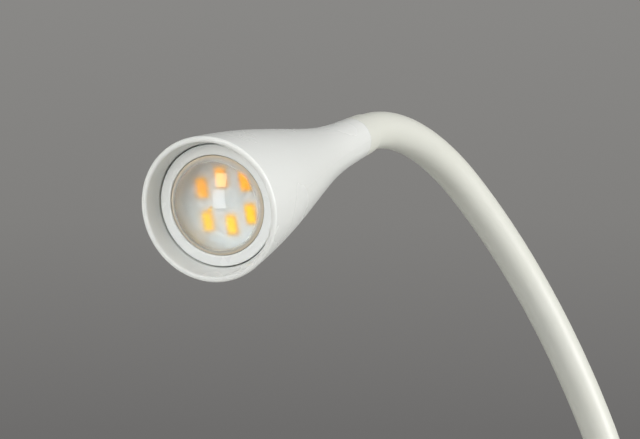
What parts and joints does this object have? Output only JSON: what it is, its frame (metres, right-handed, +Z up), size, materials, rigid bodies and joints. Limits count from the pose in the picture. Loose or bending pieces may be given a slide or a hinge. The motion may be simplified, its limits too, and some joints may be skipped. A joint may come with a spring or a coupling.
{
  "type": "clip-on reading lamp",
  "caption": "Clip-on reading lamp: trumpet-shaped white head with a reflector LED bulb on a bendable neck that rises from a spring clip with a rocker switch.",
  "frame": {"origin": "middle of the upper jaw pad's gripping face", "axes": "+Z up along the neck's straight foot, -Y where the jaws open, +X along the hinge pin to the right when the bulb faces the viewer"},
  "size_m": [0.1741, 0.2291, 0.3154],
  "materials": {
    "white_moulding": "satin white",
    "white_gloss": "gloss white",
    "neck_sheath": "satin warm white",
    "pad_rubber": "matt dark grey",
    "grommet_rubber": "matt light grey",
    "steel": "zinc plated",
    "spring_steel": "drawn wire",
    "brass": "turned",
    "rocker_grey": "gloss dark grey",
    "terminal_nylon": "natural",
    "wire_insulation": "matt",
    "cable_sheath": "matt",
    "steatite": "unglazed",
    "bulb_bezel": "gloss white",
    "bulb_cup": "gloss white",
    "clear_lens": "clear",
    "white_board": "white solder mask",
    "led_body": "cream",
    "phosphor": "yellow phosphor",
    "circuit_board": "green solder mask"
  },
  "bodies": {
    "clip": {"clamp_housing": "white_moulding", "jaw_plate": "white_moulding", "plate_screws": "steel", "upper_pad": "pad_rubber", "hinge_pin": "steel", "pin_clips": "steel", "torsion_spring": "spring_steel", "foot_ferrule": "brass", "foot_washer": "steel", "foot_nut": "steel", "switch_body": "white_gloss", "switch_blades": "brass", "terminal_block": "terminal_nylon", "terminal_inserts": "brass", "housing_wires": "wire_insulation", "cord_grommet": "grommet_rubber", "neck_sleeve_1": "neck_sheath", "neck_core_1": "spring_steel", "neck_cable_1": "cable_sheath"},
    "jaw": {"clamp_lever": "white_moulding", "lower_pad": "pad_rubber"},
    "rocker": {"switch_rocker": "rocker_grey"},
    "neck_2": {"neck_sleeve_2": "neck_sheath", "neck_core_2": "spring_steel", "neck_cable_2": "cable_sheath"},
    "neck_3": {"neck_sleeve_3": "neck_sheath", "neck_core_3": "spring_steel", "neck_cable_3": "cable_sheath"},
    "neck_4": {"neck_sleeve_4": "neck_sheath", "neck_core_4": "spring_steel", "neck_cable_4": "cable_sheath"},
    "neck_5": {"neck_sleeve_5": "neck_sheath", "neck_core_5": "spring_steel", "neck_cable_5": "cable_sheath"},
    "neck_6": {"neck_sleeve_6": "neck_sheath", "neck_core_6": "spring_steel", "neck_cable_6": "cable_sheath"},
    "head": {"neck_sleeve_7": "neck_sheath", "neck_core_7": "spring_steel", "neck_cable_7": "cable_sheath", "lamp_shade": "white_gloss", "neck_cuff": "neck_sheath", "head_ferrule": "brass", "ring_nut": "brass", "holder_bracket": "steel", "lampholder": "steatite", "holder_contacts": "brass", "holder_screws": "steel", "holder_wires": "wire_insulation", "bulb_ring": "bulb_bezel", "bulb_cup": "bulb_cup", "bulb_lens": "clear_lens", "led_board": "white_board", "led_packages": "led_body", "led_windows": "phosphor", "bulb_driver": "circuit_board", "bulb_base": "bulb_cup", "bulb_pins": "brass"}
  },
  "joints": [
    {"name": "jaw_hinge", "type": "hinge", "parent": "clip", "child": "jaw", "pos_m": [0, 0.035, -0.007], "axis": [1, 0, 0], "range_deg": [0, 45], "stiffness_Nm_per_rad": 0.3, "springref_deg": -91.67, "deforming": ["torsion_spring"]},
    {"name": "switch_rock", "type": "hinge", "parent": "clip", "child": "rocker", "pos_m": [0, 0.059, 0.02438], "axis": [1, 0, 0], "range_deg": [0, 16]},
    {"name": "neck_bend_1", "type": "hinge", "parent": "clip", "child": "neck_2", "pos_m": [0, 0.035, 0.07102], "axis": [1, 0, 0], "range_deg": [-40, 40]},
    {"name": "neck_bend_2", "type": "hinge", "parent": "neck_2", "child": "neck_3", "pos_m": [0, 0.035, 0.11505], "axis": [0, -1, 0], "range_deg": [-40, 40]},
    {"name": "neck_bend_3", "type": "hinge", "parent": "neck_3", "child": "neck_4", "pos_m": [-0.00586, 0.035, 0.15852], "axis": [0.4321, 0.8932, 0.1245], "range_deg": [-40, 40]},
    {"name": "neck_bend_4", "type": "hinge", "parent": "neck_4", "child": "neck_5", "pos_m": [-0.02241, 0.03217, 0.19907], "axis": [0.834, -0.4483, 0.3218], "range_deg": [-40, 25]},
    {"name": "neck_bend_5", "type": "hinge", "parent": "neck_5", "child": "neck_6", "pos_m": [-0.04356, 0.01864, 0.23504], "axis": [0.1949, 0.7848, 0.5883], "range_deg": [-40, 40]},
    {"name": "neck_bend_6", "type": "hinge", "parent": "neck_6", "child": "head", "pos_m": [-0.06728, -0.00614, 0.26197], "axis": [0.834, -0.4483, 0.3218], "range_deg": [-40, 15]}
  ]
}
